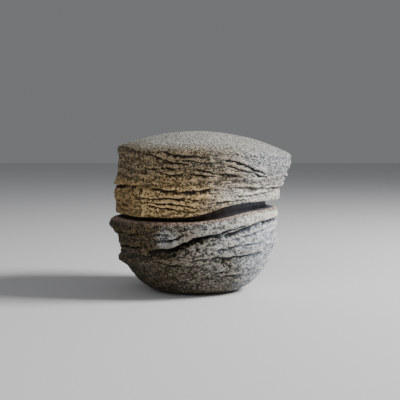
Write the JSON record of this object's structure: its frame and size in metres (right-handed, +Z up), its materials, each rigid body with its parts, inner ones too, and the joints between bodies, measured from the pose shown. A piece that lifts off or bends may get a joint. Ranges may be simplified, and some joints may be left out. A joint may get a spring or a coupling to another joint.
{
  "type": "go stone bowl with lid",
  "caption": "Hand-carved stoneware bowl with a collar inside its wavy rim and a domed lid that lifts straight off.",
  "frame": {"origin": "middle of the flat foot that the bowl stands on", "axes": "+Z up through the lid, +X towards the side where the rim's wave is high and the lid overhangs, +Y to the back"},
  "size_m": [0.1451, 0.1386, 0.1265],
  "materials": {
    "bowl_stoneware": "unglazed, ash-fired, coarse and pitted",
    "lid_stoneware": "unglazed, ash-fired, torn sides and a scraped speckled top"
  },
  "bodies": {
    "bowl": {"bowl": "bowl_stoneware"},
    "lid": {"lid": "lid_stoneware"}
  },
  "joints": [
    {"name": "lid_lift", "type": "slide", "parent": "bowl", "child": "lid", "axis": [0, 0, 1], "range_m": [0, 0.1]}
  ]
}
